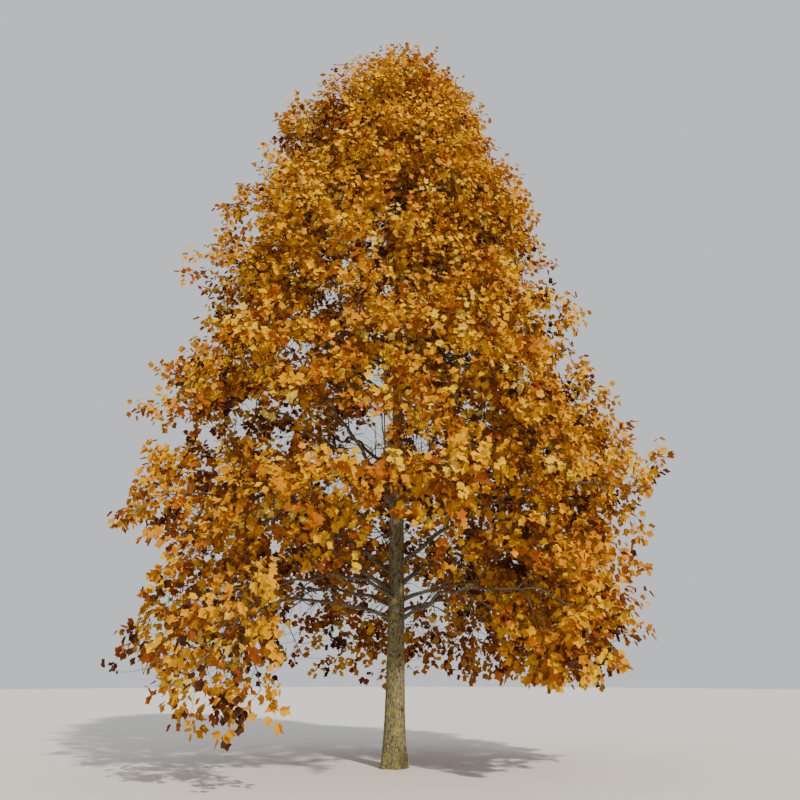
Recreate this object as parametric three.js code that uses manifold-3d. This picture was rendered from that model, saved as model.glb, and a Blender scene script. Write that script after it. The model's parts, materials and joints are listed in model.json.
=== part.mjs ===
// Tulip tree in autumn leaf, 14.4 m tall, rooted in the ground.
// Millimetres, +Z up. The origin is the centre of the trunk's flat cut at ground level.
// The tree's front faces -Y and its right is +X. A heading is the angle about +Z from +X.
//
// One straight trunk runs up to the leader at the crown's top. Limbs leave it in tiers.
// Each limb is one curve: a bough up to half of its length, then the stem of a mass of leaves.
// A mass grows from its stem by a seeded rule: stem, twigs, then sprays of leaves.

import * as THREE from 'three';
import { mergeVertices } from 'three/addons/utils/BufferGeometryUtils.js';
import Module from 'manifold-3d';

const wasm = await Module();
wasm.setup();

// Overall sizes
const TREE_HEIGHT = 14400;
const CROWN_RADIUS = 4950;
const WIDEST_HEIGHT = 3500;
const CROWN_ROUNDNESS = 1.05;
const CROWN_POINT = 0.42;
const CROWN_SWELLS = [
  { heading: 180, height: 10400, out: 0.15, spread: 50, tall: 3000 },
  { heading: 180, height: 3800, out: 0.04, spread: 60, tall: 3500 },
  { heading: 0, height: 9700, out: -0.13, spread: 50, tall: 1700 },
  { heading: 0, height: 5200, out: 0.11, spread: 45, tall: 1300 },
  { heading: 335, height: 1900, out: -0.07, spread: 45, tall: 1500 },
  { heading: 180, height: 6600, out: 0.09, spread: 40, tall: 1000 },
  { heading: 180, height: 11600, out: 0.15, spread: 50, tall: 800 },
];

// Trunk
const TRUNK_TOP = 12700;
const TRUNK_TIP_RADIUS = 24;
const TRUNK_GIRTH = 155;
const TRUNK_TAPER = 1.15;
const FLARE_RADIUS = 60;
const FLARE_HEIGHT = 430;
const FLARE_LOBES = 5;
const FLARE_LOBE_SHARE = 0.09;
const TRUNK_LEAN = { across: 70, over: 2600, sway: 30, swayLength: 5200 };
const TRUNK_SIDES = 14;
const TRUNK_STEPS = 14;
const TRUNK_RING_CROWDING = 1.7;
const TRUNK_PIECES = 13;

// Limbs, from the lowest tier up. foot and tip are heights, leave and lift are degrees above level.
// A limb leaves the trunk at leave, and its mass lies along lift. The skirt is open at the front.
const TIERS = [
  { name: 'skirt', count: 7, first: 309, sweep: 284, foot: 2350, rise: 560, tip: 1900,
    leave: 22, lift: -15, tall: 1400, girth: 35, bough: true },
  { name: 'low', count: 6, first: 268, sweep: 300, foot: 2750, rise: 900, tip: 4700,
    leave: 34, lift: 5, tall: 1850, girth: 41, bough: true },
  { name: 'middle', count: 6, first: 300, sweep: 300, foot: 4250, rise: 850, tip: 7050,
    leave: 38, lift: 15, tall: 1900, girth: 39, bough: true },
  { name: 'shoulder', count: 5, first: 252, sweep: 288, foot: 6100, rise: 700, tip: 9350,
    leave: 42, lift: 25, tall: 1900, girth: 34, bough: true },
  { name: 'upper', count: 5, first: 288, sweep: 288, foot: 7900, rise: 650, tip: 11400,
    leave: 45, lift: 35, tall: 1800, girth: 27, bough: false },
  { name: 'high', count: 4, first: 270, sweep: 270, foot: 9800, rise: 550, tip: 13150,
    leave: 50, lift: 45, tall: 1700, girth: 22, bough: false },
];
const STAGGER = 330;
const DROOP = { heading: 229, drop: 800, spread: 27 };
const BOUGH_SHARE = 0.5;
const LIMB_TAPER = 1.1;
const LIMB_TIP_RADIUS = 9;
const LIMB_SIDES = 5;
const LIMB_STEPS = 3;
const LIMB_PIECES = 8;
const LEADER_LEAN = 120;
const SEAT = 0.3;

// Masses of leaves
const MASS_DEPTH = { least: 600, share: 0.25 };
const MASS_WIDTH = 1.5;
const MASS_MIDDLE = 0.72;
const TOP_MASS = { wide: 1350, tall: 1200 };
const SPACE_MARGIN = 12;
const SPACE_SLACK = 1.06;
const LIMB_CLEARANCE = 70;
const TEST_SPACING = 130;
const OBSTACLE_MARGIN = 18;
const LOWEST_LEAF = 1350;
const FIRST_SEED = 2300;
const TWIGS = 5;
const TWIG_NARROWEST = 42;
const TWIG_WIDEST = 118;
const TWIG_REACH = { least: 0.7, most: 0.86 };
const TWIG_PLACES = { first: 0.86, last: 0.55 };
const SHORTER_TWIGS = [1, 0.85, 0.7, 0.55];
const TWIG_CLEAR_FROM = 0.2;
const TWIG_SHARE = 0.45;
const TWIG_TIP_RADIUS = 8;
const STEM_STEPS = 4;

// Sprays of leaves, each a thin solid leaf with a ridge. A branch widens at its end into one
// spray, and the others spread round its end like the ribs of an umbrella.
const SIDE_SPRAYS = 3;
const SPRAY_LENGTH = 1100;
const END_SPRAY_SHARE = 0.68;
const SPRAY_WIDTH = 0.96;
const SPRAY_LOBES = 0.58;
const SPRAY_THICKNESS = 0.035;
const SPRAY_SPACING = 90;
const FACING_ALONG = 1.6;
const SPRAY_FOLD = { least: -22, most: 12 };
const SHORTER_SPRAYS = [1, 0.85, 0.7, 0.55];
const SHORTER_END_SPRAYS = [1, 0.85, 0.7, 0.55, 0.42, 0.3];

// Openings where the sky shows through the crown, seen from the front at eye level.
// x and z are on the plane through the trunk.
const VIEWPOINT = new THREE.Vector3(0, -14700, 1600);
const SKY_GAPS = [
  { x: -480, z: 5850, radius: 360 },
  { x: -3000, z: 6050, radius: 200 },
  { x: -1100, z: 4750, radius: 170 },
];

// The front of the crown is open below this arch, so that the trunk and the inner limbs show.
const FRONT_ARCH = { x: -150, halfWidth: 1850, top: 3500, spring: 2300, behind: 300 };

const GOLDEN_ANGLE = Math.PI * (3 - Math.sqrt(5));
const GOLDEN_SHARE = (Math.sqrt(5) - 1) / 2;
const UP = new THREE.Vector3(0, 0, 1);
const radians = THREE.MathUtils.degToRad;
const mix = THREE.MathUtils.lerp;

// Repeatable numbers between 0 and 1.
function seededNumbers(seed) {
  let state = seed >>> 0;
  return () => {
    state = (state + 0x6d2b79f5) >>> 0;
    let t = Math.imul(state ^ (state >>> 15), state | 1);
    t ^= t + Math.imul(t ^ (t >>> 7), t | 61);
    return ((t ^ (t >>> 14)) >>> 0) / 4294967296;
  };
}

// How far apart two headings are, in degrees.
function turnBetween(a, b) {
  return Math.abs(((a - b + 540) % 360) - 180);
}

function bump(distance, spread) {
  return Math.exp(-((distance / spread) ** 2));
}

// The crown's radius at a height and heading.
function crownRadius(height, heading) {
  const up = Math.min(Math.max((height - WIDEST_HEIGHT) / (TREE_HEIGHT - WIDEST_HEIGHT), 0), 1);
  let radius = CROWN_RADIUS * (1 - up ** CROWN_ROUNDNESS) ** CROWN_POINT;
  for (const s of CROWN_SWELLS) {
    const near = bump(turnBetween(heading, s.heading), s.spread) * bump(height - s.height, s.tall);
    radius *= 1 + s.out * near;
  }
  return radius;
}

// How much lower the limbs and leaves hang at a heading than elsewhere.
function droopAt(heading) {
  return DROOP.drop * bump(turnBetween(heading, DROOP.heading), DROOP.spread);
}

// The trunk's axis at a height, with its slight lean to the right and sway.
function trunkAxis(height) {
  const across = TRUNK_LEAN.across * (1 - Math.exp(-height / TRUNK_LEAN.over));
  const sway = TRUNK_LEAN.sway * Math.sin((2 * Math.PI * height) / TRUNK_LEAN.swayLength);
  return new THREE.Vector3(across, sway, height);
}

function trunkRadius(height) {
  const rest = 1 - Math.min(height / TRUNK_TOP, 1);
  return TRUNK_TIP_RADIUS + TRUNK_GIRTH * rest ** TRUNK_TAPER
    + FLARE_RADIUS * Math.exp(-height / FLARE_HEIGHT);
}

function outward(heading, lift) {
  const level = Math.cos(radians(lift));
  return new THREE.Vector3(
    level * Math.cos(radians(heading)),
    level * Math.sin(radians(heading)),
    Math.sin(radians(lift)),
  );
}

// One limb: its curve from the trunk's axis to the crown's edge, and the space that its mass keeps to.
function makeLimb(tier, index) {
  const heading = (tier.first + (tier.sweep * index) / (tier.count - 1)) % 360;
  const droop = tier.name === 'skirt' ? droopAt(heading) : 0;
  const tipHeight = tier.tip - droop + STAGGER * (index % 2 ? -1 : 1);
  const reach = crownRadius(tipHeight, heading);
  const foot = trunkAxis(tier.foot + tier.rise * ((index * GOLDEN_SHARE) % 1));
  const edge = outward(heading, 0).multiplyScalar(reach).setZ(tipHeight);
  const depth = MASS_DEPTH.least + MASS_DEPTH.share * reach;
  const out = outward(heading, tier.lift);
  const side = new THREE.Vector3().crossVectors(UP, out).normalize();
  const middle = edge.clone().addScaledVector(out, -depth);
  const tip = edge.clone().addScaledVector(out, -END_SPRAY_SHARE * SPRAY_LENGTH);
  const bend = outward(heading, 0).multiplyScalar(reach / 2)
    .setZ(foot.z + (reach / 2) * Math.tan(radians(tier.leave)));
  const width = (MASS_WIDTH * Math.PI * MASS_MIDDLE * reach) / tier.count;
  return {
    name: tier.name + '_' + (index + 1),
    curve: new THREE.QuadraticBezierCurve3(foot, bend, tip),
    from: tier.bough ? BOUGH_SHARE : 0,
    girth: tier.girth,
    bough: tier.bough,
    side,
    space: { middle, out, side, rise: new THREE.Vector3().crossVectors(out, side),
      size: new THREE.Vector3(depth, width, tier.tall) },
  };
}

// The leader: a last stem that goes on from the trunk's tip.
function makeLeader() {
  const foot = trunkAxis(TRUNK_TOP);
  const top = new THREE.Vector3(foot.x + LEADER_LEAN, foot.y, TREE_HEIGHT);
  const tip = top.clone().addScaledVector(UP, -END_SPRAY_SHARE * SPRAY_LENGTH);
  const side = new THREE.Vector3(0, 1, 0);
  return {
    name: 'leader',
    curve: new THREE.QuadraticBezierCurve3(foot, foot.clone().lerp(tip, 0.5), tip),
    from: 0,
    girth: TRUNK_TIP_RADIUS,
    bough: false,
    side,
    space: { middle: top.clone().addScaledVector(UP, -TOP_MASS.tall), out: UP, side,
      rise: new THREE.Vector3().crossVectors(UP, side),
      size: new THREE.Vector3(TOP_MASS.tall, TOP_MASS.wide, TOP_MASS.wide) },
  };
}

function makeLimbs() {
  const limbs = TIERS.flatMap((tier) =>
    Array.from({ length: tier.count }, (_, index) => makeLimb(tier, index)));
  limbs.push(makeLeader());
  return limbs;
}

function limbRadius(limb, t) {
  return LIMB_TIP_RADIUS + (limb.girth - LIMB_TIP_RADIUS) * (1 - t) ** LIMB_TAPER;
}

// Whether a point is within the radius of one of the openings for the sky, which widen with distance.
function inSkyGap(point) {
  return SKY_GAPS.some((gap) => {
    const line = new THREE.Vector3(gap.x, 0, gap.z).sub(VIEWPOINT);
    const share = point.clone().sub(VIEWPOINT).dot(line) / line.lengthSq();
    const nearest = VIEWPOINT.clone().addScaledVector(line, share);
    return nearest.distanceTo(point) < gap.radius * share;
  });
}

// Whether a point in front of the trunk is seen under the arch.
function underArch(point) {
  if (point.y > FRONT_ARCH.behind) return false;
  const line = point.clone().sub(VIEWPOINT);
  const seen = VIEWPOINT.clone().addScaledVector(line, -VIEWPOINT.y / line.y);
  const across = Math.abs(seen.x - FRONT_ARCH.x) / FRONT_ARCH.halfWidth;
  const rise = FRONT_ARCH.top - FRONT_ARCH.spring;
  return across < 1 && seen.z < FRONT_ARCH.spring + rise * Math.sqrt(1 - across ** 2);
}

// A mass keeps to an egg-shaped space, and to the points that are nearer its middle than another's.
function inSpace(point, limb, limbs) {
  const { middle, out, side, rise, size } = limb.space;
  const away = point.clone().sub(middle);
  const egg = (away.dot(out) / size.x) ** 2 + (away.dot(side) / size.y) ** 2
    + (away.dot(rise) / size.z) ** 2;
  const heading = THREE.MathUtils.radToDeg(Math.atan2(point.y, point.x));
  const lowest = LOWEST_LEAF - droopAt(heading);
  if (egg > SPACE_SLACK ** 2 || point.z < lowest || point.z > TREE_HEIGHT) return false;
  if (underArch(point)) return false;
  return limbs.every((other) => {
    if (other === limb) return true;
    const between = other.space.middle.clone().sub(middle);
    return away.dot(between) / between.length() < between.length() / 2 - SPACE_MARGIN;
  });
}

// The distance from a point to a straight piece of a limb, less the limb's radius there.
function gapToPiece(point, a, b, radiusA, radiusB) {
  const line = b.clone().sub(a);
  const share = THREE.MathUtils.clamp(point.clone().sub(a).dot(line) / line.lengthSq(), 0, 1);
  return point.distanceTo(a.clone().addScaledVector(line, share)) - mix(radiusA, radiusB, share);
}

// Straight pieces of the trunk and of each limb, to keep leaves clear of them.
function limbPieces(limbs) {
  const pieces = [];
  for (let i = 0; i < TRUNK_PIECES; i++) {
    const low = (TRUNK_TOP * i) / TRUNK_PIECES;
    const high = (TRUNK_TOP * (i + 1)) / TRUNK_PIECES;
    pieces.push({ owner: null, a: trunkAxis(low), b: trunkAxis(high),
      radiusA: trunkRadius(low), radiusB: trunkRadius(high) });
  }
  for (const limb of limbs) {
    for (let i = 0; i < LIMB_PIECES; i++) {
      const near = i / LIMB_PIECES;
      const far = (i + 1) / LIMB_PIECES;
      pieces.push({ owner: limb, bough: limb.bough && far <= BOUGH_SHARE,
        a: limb.curve.getPoint(near), b: limb.curve.getPoint(far),
        radiusA: limbRadius(limb, near), radiusB: limbRadius(limb, far) });
    }
  }
  return pieces;
}

function clearOfLimbs(point, limb, pieces) {
  return pieces.every((p) =>
    (p.owner === limb && !p.bough)
    || gapToPiece(point, p.a, p.b, p.radiusA, p.radiusB) > LIMB_CLEARANCE);
}

// Points along a line, to test it.
function along(a, b) {
  const count = Math.ceil(a.distanceTo(b) / TEST_SPACING);
  return Array.from({ length: count }, (_, i) => a.clone().lerp(b, (i + 1) / count));
}

// A corner of a spray's widest place, by the turn about its axis: its ridge, left or right.
function sprayCorner(spray, turn) {
  const { root, axis, across, normal, length } = spray;
  const corner = root.clone().addScaledVector(axis, SPRAY_LOBES * length);
  const sideways = Math.sign(Math.round(2 * Math.sin(turn)));
  if (sideways) return corner.addScaledVector(across, (sideways * SPRAY_WIDTH * length) / 2);
  return corner.addScaledVector(normal, SPRAY_THICKNESS * length);
}

function sprayTip(spray) {
  return spray.root.clone().addScaledVector(spray.axis, spray.length);
}

// Whether a spray keeps to its mass's space, and clear of the solids round it.
function sprayFits(spray, fits, others) {
  const left = sprayCorner(spray, -Math.PI / 2);
  const right = sprayCorner(spray, Math.PI / 2);
  const tip = sprayTip(spray);
  const outline = [
    ...along(spray.root, tip), ...along(spray.root, left), ...along(spray.root, right),
    ...along(left, tip), ...along(right, tip), ...along(left, right), sprayCorner(spray, 0),
  ];
  if (!outline.every(fits)) return false;
  const solid = solidFrom(sprayGeometry(spray));
  return others.every((other) => other.intersect(solid).isEmpty());
}

// A side spray that starts on a branch and faces a way, as long as fits, or undefined.
function makeSideSpray(root, axis, facing, fits, others) {
  const across = new THREE.Vector3().crossVectors(axis, facing).normalize();
  const normal = across.clone().cross(axis);
  return SHORTER_SPRAYS
    .map((share) => ({ root, axis, across, normal, length: SPRAY_LENGTH * share }))
    .find((spray) => sprayFits(spray, fits, others));
}

// The length of a branch's end spray: as long as fits, or undefined.
function endSprayLength(curve, across, fits, others) {
  const root = curve.getPoint(1);
  const axis = curve.getTangent(1);
  const normal = across.clone().cross(axis);
  return SHORTER_END_SPRAYS
    .map((share) => share * END_SPRAY_SHARE * SPRAY_LENGTH)
    .find((length) => sprayFits({ root, axis, across, normal, length }, fits, others));
}

// The branches of one mass: its stem, and twigs that fan out from it to even places on the
// mass's egg-shaped space.
function makeBranches(limb, fits, obstacles, random) {
  const { middle, out, side, rise, size } = limb.space;
  const phase = random() * 2 * Math.PI;
  const widest = Math.cos(radians(TWIG_WIDEST));
  const narrowest = Math.cos(radians(TWIG_NARROWEST));
  const branches = [{
    curve: limb.curve, from: limb.from, across: side, steps: STEM_STEPS, lift: SEAT,
    radiusAt: (t) => limbRadius(limb, t),
    endSpray: endSprayLength(limb.curve, side, fits, obstacles),
  }];
  for (let k = 0; k < TWIGS; k++) {
    const share = (k + 0.5) / TWIGS;
    const polar = Math.acos(mix(narrowest, widest, share));
    const turn = k * GOLDEN_ANGLE + phase;
    const reach = mix(TWIG_REACH.least, TWIG_REACH.most, random());
    const roll = (random() - 0.5) * Math.PI;
    const target = middle.clone()
      .addScaledVector(out, size.x * Math.cos(polar) * reach)
      .addScaledVector(side, size.y * Math.cos(turn) * Math.sin(polar) * reach)
      .addScaledVector(rise, size.z * Math.sin(turn) * Math.sin(polar) * reach);
    const place = mix(TWIG_PLACES.first, TWIG_PLACES.last, share);
    const thick = TWIG_SHARE * limbRadius(limb, place);
    const twig = longestTwig(limb.curve.getPoint(place), target, roll, fits, obstacles);
    if (twig) {
      branches.push({ ...twig, from: 0, steps: 1, lift: 0,
        radiusAt: (t) => mix(thick, TWIG_TIP_RADIUS, t) });
    }
  }
  return branches;
}

// The longest twig towards a target that stays in its space and clear of limbs with its spray.
function longestTwig(start, target, roll, fits, obstacles) {
  const axis = target.clone().sub(start).normalize();
  const across = new THREE.Vector3().crossVectors(axis, UP).normalize().applyAxisAngle(axis, roll);
  for (const share of SHORTER_TWIGS) {
    const curve = new THREE.LineCurve3(start, start.clone().lerp(target, share));
    if (!along(curve.getPoint(TWIG_CLEAR_FROM), curve.v2).every(fits)) continue;
    const endSpray = endSprayLength(curve, across, fits, obstacles);
    if (endSpray) return { curve, across, endSpray };
  }
  return null;
}

// The growth rule of one mass: a stem, its twigs, and sprays round the end of each.
function growMass(limb, index, limbs, pieces, obstacles) {
  const random = seededNumbers(FIRST_SEED + index);
  const fits = (point) => inSpace(point, limb, limbs) && clearOfLimbs(point, limb, pieces);
  const branches = makeBranches(limb, fits, obstacles, random);
  const wood = branches.map((branch) => solidFrom(branchGeometry(branch)));
  const sprays = [];
  branches.forEach((branch, b) => {
    const end = branch.curve.getPoint(1);
    const axis = branch.curve.getTangent(1);
    const facing = end.clone().sub(limb.space.middle).normalize()
      .addScaledVector(axis, FACING_ALONG).normalize();
    const sideways = new THREE.Vector3().crossVectors(facing, UP).normalize();
    const others = [...obstacles, ...wood.filter((_, other) => other !== b)];
    const turn = random() * 2 * Math.PI;
    for (let n = 0; n < SIDE_SPRAYS; n++) {
      const fold = radians(mix(SPRAY_FOLD.least, SPRAY_FOLD.most, random()));
      const level = sideways.clone().applyAxisAngle(facing, turn + (n * 2 * Math.PI) / SIDE_SPRAYS);
      const way = level.multiplyScalar(Math.cos(fold)).addScaledVector(facing, Math.sin(fold));
      const root = end.clone().addScaledVector(axis, -SPRAY_SPACING * (n + 0.5));
      if (inSkyGap(root)) continue;
      const spray = makeSideSpray(root, way, facing, fits, [...others, ...sprays]);
      if (spray) sprays.push(solidFrom(sprayGeometry(spray)));
    }
  });
  return { wood, sprays };
}

// A three.js geometry as a solid for joining and cutting.
function solidFrom(geometry) {
  const bare = geometry.clone();
  bare.deleteAttribute('normal');
  bare.deleteAttribute('uv');
  const merged = mergeVertices(bare, 1e-3);
  return new wasm.Manifold(new wasm.Mesh({
    numProp: 3,
    vertProperties: new Float32Array(merged.attributes.position.array),
    triVerts: new Uint32Array(merged.index.array),
  }));
}

function geometryFrom(solid) {
  const mesh = solid.getMesh();
  const geometry = new THREE.BufferGeometry();
  geometry.setAttribute('position', new THREE.BufferAttribute(mesh.vertProperties, 3));
  geometry.setIndex(new THREE.BufferAttribute(mesh.triVerts, 1));
  geometry.computeVertexNormals();
  return geometry;
}

// Moves each vertex of a geometry by a function of its place.
function reshape(geometry, move) {
  const position = geometry.attributes.position;
  const vertex = new THREE.Vector3();
  for (let i = 0; i < position.count; i++) {
    vertex.fromBufferAttribute(position, i);
    const moved = move(vertex);
    position.setXYZ(i, moved.x, moved.y, moved.z);
  }
  return geometry;
}

// A point beside a limb's or twig's curve: right of it by x and above it by z.
function besideCurve(curve, t, across, x, z) {
  const above = new THREE.Vector3().crossVectors(across, curve.getTangent(t));
  return curve.getPoint(t).addScaledVector(across, x).addScaledVector(above, z);
}

// A cylinder bent along a limb's curve up to a share of it and tapered. grow widens it, to keep
// leaves clear of it.
function limbGeometry(limb, upTo, grow) {
  const cylinder = new THREE.CylinderGeometry(1, 1, 1, LIMB_SIDES, LIMB_STEPS);
  return reshape(cylinder, (v) => {
    const t = upTo * (v.y + 0.5);
    const radius = limbRadius(limb, t) + grow;
    return besideCurve(limb.curve, t, limb.side, v.x * radius, v.z * radius);
  });
}

// A branch with its end spray: a three-sided cone drawn along the curve, then out to the
// spray's widest place and its tip.
function branchGeometry(branch) {
  const { curve, from, across, steps, radiusAt, endSpray } = branch;
  const axis = curve.getTangent(1);
  const spray = { root: curve.getPoint(1), axis, across, normal: across.clone().cross(axis),
    length: endSpray };
  const rings = steps + 2;
  return reshape(new THREE.ConeGeometry(1, 1, 3, rings), (v) => {
    const ring = Math.round((v.y + 0.5) * rings);
    const turn = Math.atan2(v.x, v.z);
    if (ring === rings) return sprayTip(spray);
    if (ring > steps) return sprayCorner(spray, turn);
    const t = mix(from, 1, ring / steps);
    const radius = Math.hypot(v.x, v.z) > 0.01 ? radiusAt(t) : 0;
    return besideCurve(curve, t, across, radius * Math.sin(turn), radius * Math.cos(turn))
      .addScaledVector(curve.getTangent(t), branch.lift);
  });
}

// The trunk: a cylinder drawn out to its taper, lean and root flare. grow widens it and raises its
// top, for cutting.
function trunkGeometry(grow) {
  const cylinder = new THREE.CylinderGeometry(1, 1, 1, TRUNK_SIDES, TRUNK_STEPS);
  return reshape(cylinder, (v) => {
    const share = v.y + 0.5;
    const height = TRUNK_TOP * share ** TRUNK_RING_CROWDING;
    const angle = Math.atan2(-v.z, v.x);
    const lobes = 1 + FLARE_LOBE_SHARE * Math.cos(FLARE_LOBES * angle)
      * Math.exp(-height / FLARE_HEIGHT);
    const radius = trunkRadius(height) * lobes + grow;
    const around = Math.hypot(v.x, v.z) * radius;
    return trunkAxis(height).add(
      new THREE.Vector3(around * Math.cos(angle), around * Math.sin(angle), grow * share));
  });
}

// A side spray: two three-sided pyramids base to base, drawn out to a leaf with a ridge.
function sprayGeometry(spray) {
  const ringTurns = [0, 1, 2].map((n) => (n * 2 * Math.PI) / 3);
  const corners = [0, 1, 0, 0, -1, 0, ...ringTurns.flatMap((a) => [Math.sin(a), 0, Math.cos(a)])];
  const faces = [2, 3, 0, 3, 4, 0, 4, 2, 0, 3, 2, 1, 4, 3, 1, 2, 4, 1];
  return reshape(new THREE.PolyhedronGeometry(corners, faces, 1), (v) => {
    if (Math.abs(v.y) < 0.5) return sprayCorner(spray, Math.atan2(v.x, v.z));
    return v.y > 0 ? sprayTip(spray) : spray.root.clone();
  });
}

// Joins solids and keeps the one main body, so that scraps go and sealed hollows are filled.
function fuse(solids) {
  const joined = wasm.Manifold.union(solids);
  return joined.decompose().reduce((a, b) => (a.volume() > b.volume() ? a : b));
}

const BARK = new THREE.MeshStandardMaterial({ color: 0x8a7a5c, roughness: 0.9, metalness: 0 });
const TINTS = [0xe0a01c, 0xd9861a, 0xc46a18, 0xe8b638, 0xb85c1c].map((color) =>
  new THREE.MeshStandardMaterial({ color, roughness: 0.6, metalness: 0 }));

function namedMesh(name, solid, material) {
  const mesh = new THREE.Mesh(geometryFrom(solid), material);
  mesh.name = name;
  return mesh;
}

function makeTrunk() {
  return namedMesh('trunk', solidFrom(trunkGeometry(0)), BARK);
}

// A bough is seated on the trunk: it starts at the trunk's axis and the trunk is cut from it.
function makeBough(limb, trunkCutter) {
  const whole = solidFrom(limbGeometry(limb, BOUGH_SHARE, 0));
  return namedMesh('bough_' + limb.name, whole.subtract(trunkCutter), BARK);
}

// What a mass's sprays may not cross: the trunk, its own bough and each other limb.
function obstaclesOf(limb, limbs, trunk) {
  const shareOf = (other) => (other === limb ? BOUGH_SHARE : 1);
  const solids = limbs
    .filter((other) => other !== limb || limb.bough)
    .map((other) => solidFrom(limbGeometry(other, shareOf(other), OBSTACLE_MARGIN)));
  return [trunk, ...solids];
}

function makeMass(limb, index, limbs, pieces, trunkCutter) {
  const obstacles = obstaclesOf(limb, limbs, trunkCutter);
  const { wood, sprays } = growMass(limb, index, limbs, pieces, obstacles);
  const fused = fuse([...wood, ...sprays]);
  const seated = limb.from > 0 ? fused : fuse([fused.subtract(trunkCutter)]);
  return namedMesh('leaves_' + limb.name, seated, TINTS[index % TINTS.length]);
}

function makeTree() {
  const tree = new THREE.Group();
  const limbs = makeLimbs();
  const pieces = limbPieces(limbs);
  const trunkCutter = solidFrom(trunkGeometry(SEAT));
  tree.add(makeTrunk());
  limbs.filter((limb) => limb.bough).forEach((limb) => tree.add(makeBough(limb, trunkCutter)));
  limbs.forEach((limb, index) => tree.add(makeMass(limb, index, limbs, pieces, trunkCutter)));
  return tree;
}

export default makeTree();
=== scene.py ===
# %% [markdown]
# # A tulip tree in golden autumn leaf
#
# The real tree is a young tulip tree, 14.4 m tall, that has had room to spread. One straight trunk
# runs up through a broad cone of foliage. Each leaf has four points and a notch at its tip, like the
# outline of a tulip, and in October the crown turns golden, orange and russet.
#
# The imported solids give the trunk, the boughs and a few large stand-in leaves for each mass of
# foliage. This script grows the same tree again by the same rule. It carries the rule on to shoots
# no thicker than a pencil and leaves of life size, and gives them their bark and autumn colours.

# %% Load the frame
import json
import math
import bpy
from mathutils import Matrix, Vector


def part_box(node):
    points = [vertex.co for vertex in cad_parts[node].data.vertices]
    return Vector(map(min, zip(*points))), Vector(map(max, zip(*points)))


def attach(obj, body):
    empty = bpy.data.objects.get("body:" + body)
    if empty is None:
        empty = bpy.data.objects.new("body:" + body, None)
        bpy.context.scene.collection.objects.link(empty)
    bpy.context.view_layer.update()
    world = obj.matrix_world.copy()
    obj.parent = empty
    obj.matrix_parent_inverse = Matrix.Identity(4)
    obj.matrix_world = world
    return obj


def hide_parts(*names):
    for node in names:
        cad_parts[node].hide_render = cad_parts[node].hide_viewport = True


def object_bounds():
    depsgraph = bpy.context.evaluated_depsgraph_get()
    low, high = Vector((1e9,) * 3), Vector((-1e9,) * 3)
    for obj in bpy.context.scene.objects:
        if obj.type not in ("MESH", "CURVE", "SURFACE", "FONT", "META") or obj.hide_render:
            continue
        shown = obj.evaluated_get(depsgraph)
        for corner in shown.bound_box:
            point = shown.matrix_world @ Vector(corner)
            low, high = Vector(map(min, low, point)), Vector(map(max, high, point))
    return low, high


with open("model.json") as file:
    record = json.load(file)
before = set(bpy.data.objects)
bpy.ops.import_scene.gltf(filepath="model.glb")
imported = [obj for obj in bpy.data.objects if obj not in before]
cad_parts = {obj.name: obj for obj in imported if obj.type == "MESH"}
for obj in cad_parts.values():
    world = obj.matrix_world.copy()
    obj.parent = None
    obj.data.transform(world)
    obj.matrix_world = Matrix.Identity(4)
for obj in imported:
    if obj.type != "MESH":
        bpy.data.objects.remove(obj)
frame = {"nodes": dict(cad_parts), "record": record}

from types import SimpleNamespace as Values

import bmesh
import bpy
import numpy as np
from mathutils import Vector, noise

cad_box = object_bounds()
lowest_corner, highest_corner = (np.array(corner) for corner in cad_box)
print("solids' box", lowest_corner.round(2), highest_corner.round(2))

# %% [markdown]
# ## The camera and the sun
#
# The photograph was taken at eye level, 14.7 m in front of the trunk, tilted up to take the whole
# tree in. Its angle of view makes the focal length as long as the frame is wide. Setting the camera
# first means that every later step can be judged from the place where the photograph was taken.
#
# The tree's shadow falls behind it and to its left, as far back as the tree is tall and a little
# more. So the sun stood behind the photographer to the right, 38 degrees above the horizon. Where
# it stood matters early: leaves turn to the light, and the leaf colours are dealt as painted
# sunlight and painted shade, golden on the sunny side.

# %% Place the camera
CAMERA_PLACE = (0.11, -14.7, 1.6)
CAMERA_TILT = 18.5
FRAME_WIDTH = 36.0


def add_object(name, data):
    """A new object in the scene for a mesh, a camera or a lamp."""
    thing = bpy.data.objects.new(name, data)
    bpy.context.scene.collection.objects.link(thing)
    return thing


lens = bpy.data.cameras.new("camera")
lens.sensor_width = FRAME_WIDTH
lens.lens = FRAME_WIDTH
camera = add_object("camera", lens)
camera.location = CAMERA_PLACE
camera.rotation_euler = (math.radians(90 + CAMERA_TILT), 0, 0)
bpy.context.scene.camera = camera
print("camera", CAMERA_PLACE, "tilted up by", CAMERA_TILT)

# %% Direction of the sun
SUN_HEADING = 298
SUN_HEIGHT = 38
FRONT_HEADING = 270

sun_lamp = add_object("sun", bpy.data.lights.new("sun", "SUN"))
sun_lamp.rotation_euler = (math.radians(90 - SUN_HEIGHT), 0, math.radians(SUN_HEADING - FRONT_HEADING))
to_sun = -np.array(sun_lamp.rotation_euler.to_matrix() @ Vector((0, 0, -1)))
print("towards the sun:", to_sun.round(2))

# %% [markdown]
# ## The crown's shape
#
# A tulip tree grows a single leader, so its crown narrows evenly to a rounded top. A formula gives
# the crown's radius at each height. Swells and dips make it fuller or slimmer on some sides, as wind
# and light did on the real one. A heading is the angle about the trunk in degrees, counted from the
# tree's right.

# %% Crown radius
TREE_HEIGHT = float(highest_corner[2])
CROWN_RADIUS = 4.95
WIDEST_HEIGHT = 3.5
CROWN_ROUNDNESS = 1.05
CROWN_POINT = 0.42
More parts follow.
